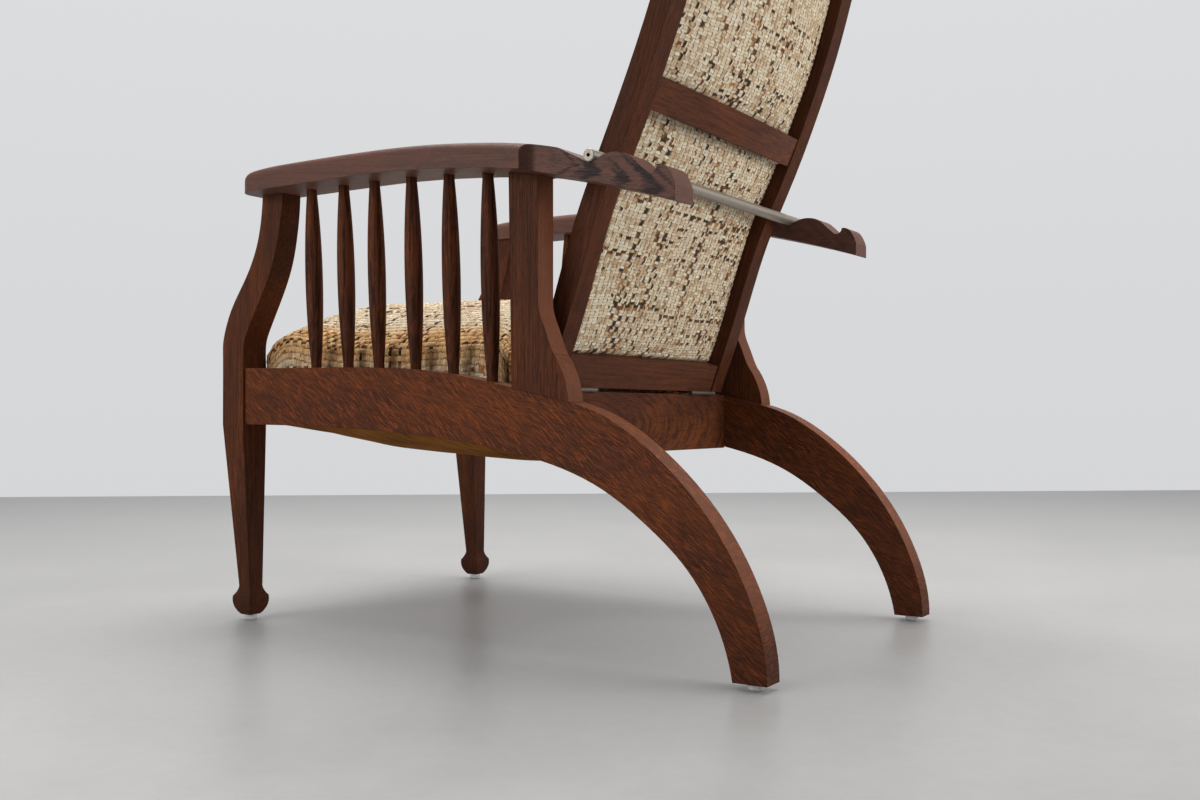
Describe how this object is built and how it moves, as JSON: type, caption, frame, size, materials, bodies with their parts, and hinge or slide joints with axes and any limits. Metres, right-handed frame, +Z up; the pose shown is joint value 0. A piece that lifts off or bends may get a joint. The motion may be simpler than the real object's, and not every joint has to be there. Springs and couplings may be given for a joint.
{
  "type": "reclining armchair",
  "caption": "Mission style oak armchair with curved rear legs, bellied spindles under the arms, sprung tweed seat and hinged back that reclines on a steel rod in notched arms",
  "frame": {"origin": "on the floor, under the middle of the chair's footprint", "axes": "+X is the sitter's left, -Y is the front, +Z is up"},
  "size_m": [0.66, 0.907, 1.0921],
  "materials": {
    "board_oak": "fumed quarter-sawn oak, satin wax",
    "leg_oak": "fumed oak, satin wax",
    "arm_oak": "fumed oak, worn satin wax",
    "spindle_oak": "fumed turned oak, satin wax",
    "inner_oak": "raw oak",
    "tweed_padding": "nubbly wool tweed with dark slubs",
    "tweed_panel": "nubbly wool tweed with dark slubs",
    "bottom_cloth": "aged hessian",
    "webbing": "jute webbing",
    "hinge_steel": "dull aged steel",
    "rod_steel": "dull grey steel",
    "glide_plastic": "clear white plastic"
  },
  "bodies": {
    "chair_frame": {"arm_left": "arm_oak", "arm_right": "arm_oak", "front_glide_left": "glide_plastic", "front_glide_right": "glide_plastic", "front_leg_left": "leg_oak", "front_leg_right": "leg_oak", "front_seat_rail": "board_oak", "hinge_leaf_fixed_left": "hinge_steel", "hinge_leaf_fixed_right": "hinge_steel", "hinge_pin_left": "hinge_steel", "hinge_pin_right": "hinge_steel", "post_ear_left": "leg_oak", "post_ear_right": "leg_oak", "rear_glide_left": "glide_plastic", "rear_glide_right": "glide_plastic", "rear_post_left": "leg_oak", "rear_post_right": "leg_oak", "rear_seat_rail": "board_oak", "seat_batten_front": "inner_oak", "seat_batten_left": "inner_oak", "seat_batten_rear": "inner_oak", "seat_batten_right": "inner_oak", "seat_bottom_cloth": "bottom_cloth", "seat_cushion": "tweed_padding", "seat_webbing": "webbing", "side_board_left": "board_oak", "side_board_right": "board_oak", "spindle_left_1": "spindle_oak", "spindle_left_2": "spindle_oak", "spindle_left_3": "spindle_oak", "spindle_left_4": "spindle_oak", "spindle_left_5": "spindle_oak", "spindle_left_6": "spindle_oak", "spindle_right_1": "spindle_oak", "spindle_right_2": "spindle_oak", "spindle_right_3": "spindle_oak", "spindle_right_4": "spindle_oak", "spindle_right_5": "spindle_oak", "spindle_right_6": "spindle_oak"},
    "backrest": {"back_bottom_rail": "board_oak", "back_cushion": "tweed_padding", "back_middle_rail": "board_oak", "back_panel_lower": "tweed_panel", "back_panel_upper": "tweed_panel", "back_stile_left": "board_oak", "back_stile_right": "board_oak", "back_top_rail": "board_oak", "hinge_leaf_moving_left": "hinge_steel", "hinge_leaf_moving_right": "hinge_steel"},
    "support_rod_body": {"support_rod": "rod_steel"}
  },
  "joints": [
    {"name": "back_recline", "type": "hinge", "parent": "chair_frame", "child": "backrest", "pos_m": [0, 0.12555, 0.346], "axis": [-1, 0, 0], "range_deg": [0, 12]},
    {"name": "rod_swing", "type": "hinge", "parent": "chair_frame", "child": "support_rod_body", "pos_m": [0, 0.26639, 0.58099], "axis": [-1, 0, 0], "range_deg": [0, 101.98]}
  ],
  "couplings": [
    {"joint": "rod_swing", "follows": "back_recline", "ratio": 8.498}
  ]
}
